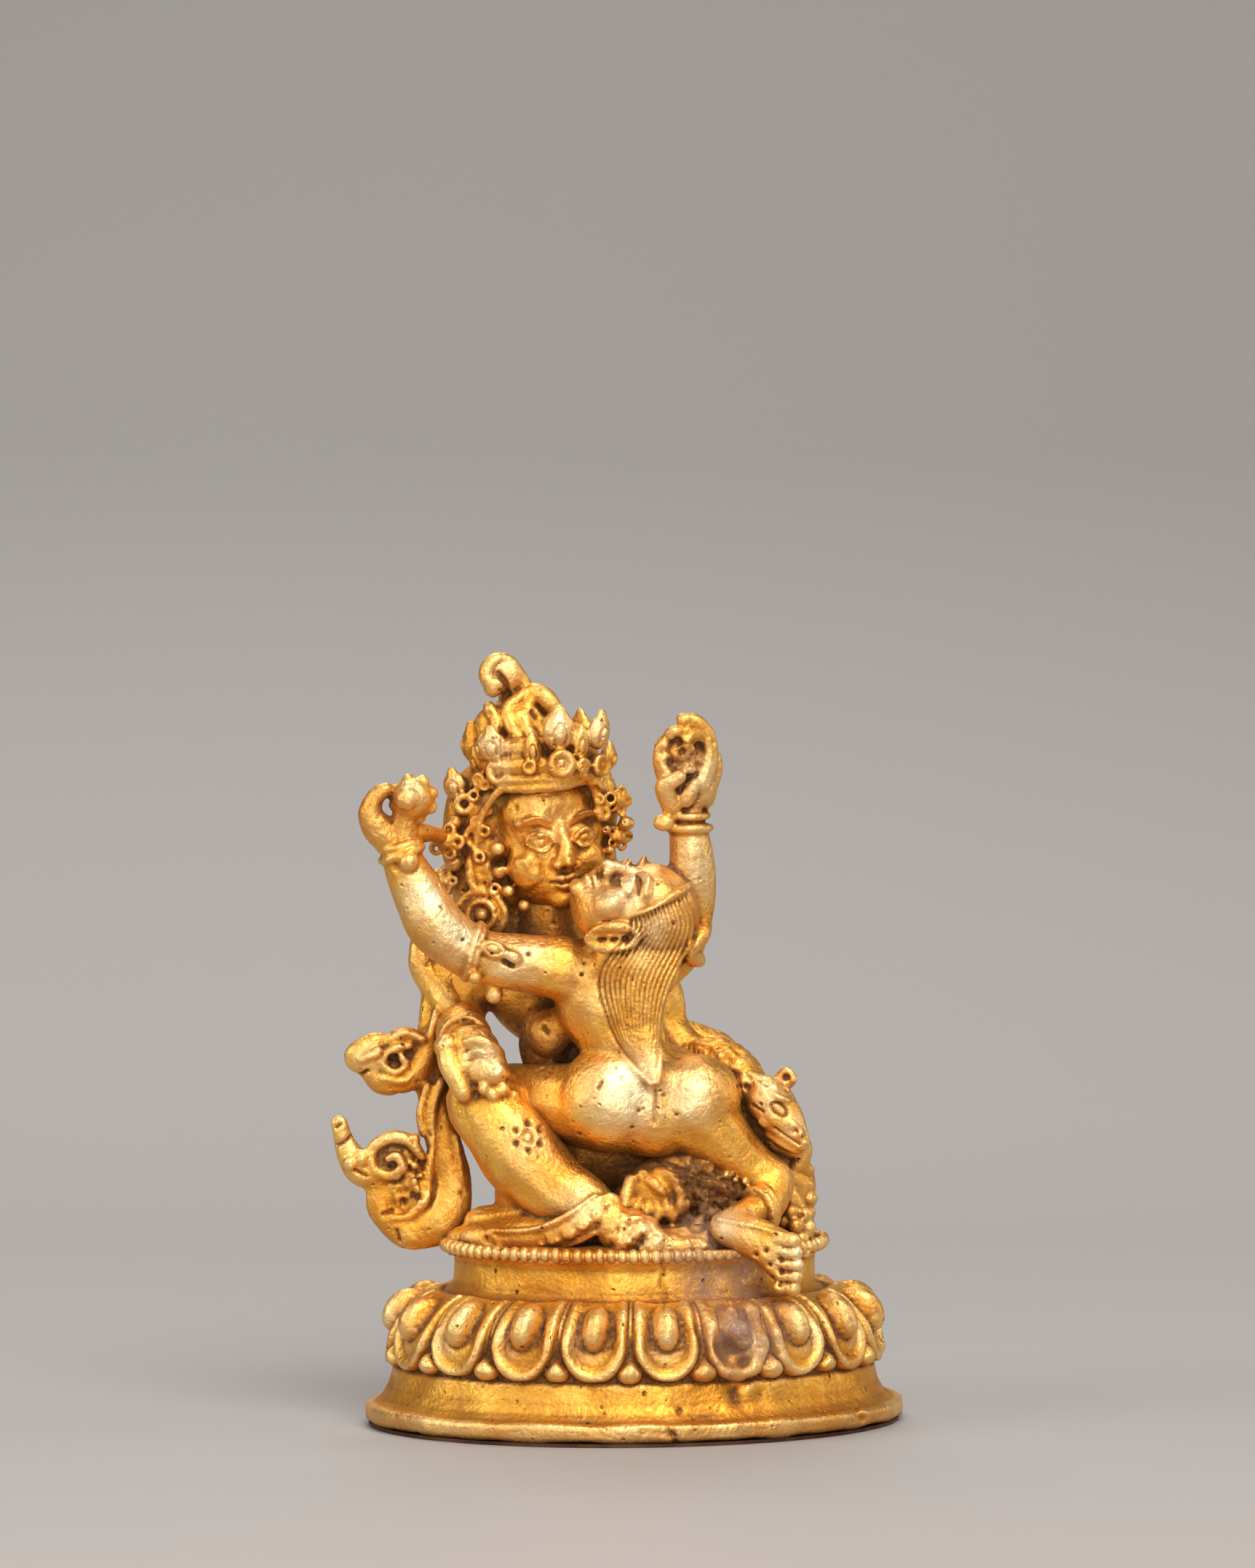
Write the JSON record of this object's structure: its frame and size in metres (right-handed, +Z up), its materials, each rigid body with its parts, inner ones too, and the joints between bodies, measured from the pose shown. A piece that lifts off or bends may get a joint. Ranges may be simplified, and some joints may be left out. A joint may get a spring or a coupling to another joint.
{
  "type": "jambhala statue",
  "caption": "Miniature gilt casting of a seated wealth deity embracing his consort, with mongoose and flying scarves, on an oval lotus seat closed underneath by a thin sheet.",
  "frame": {"origin": "middle of the flat underside of the foot, where the statue stands", "axes": "+Z up to the finial, -Y the front where the consort's back and the feet show, +X to the mongoose's side"},
  "size_m": [0.032, 0.0237, 0.0429],
  "materials": {
    "worn_gilding": "fire-gilt brass, worn pale on the high places, red-brown grime in the hollows",
    "dark_copper": "thin sheet of copper, oxidised dark brown"
  },
  "bodies": {
    "root": {"statue": "worn_gilding", "base_plate": "dark_copper"}
  },
  "joints": []
}
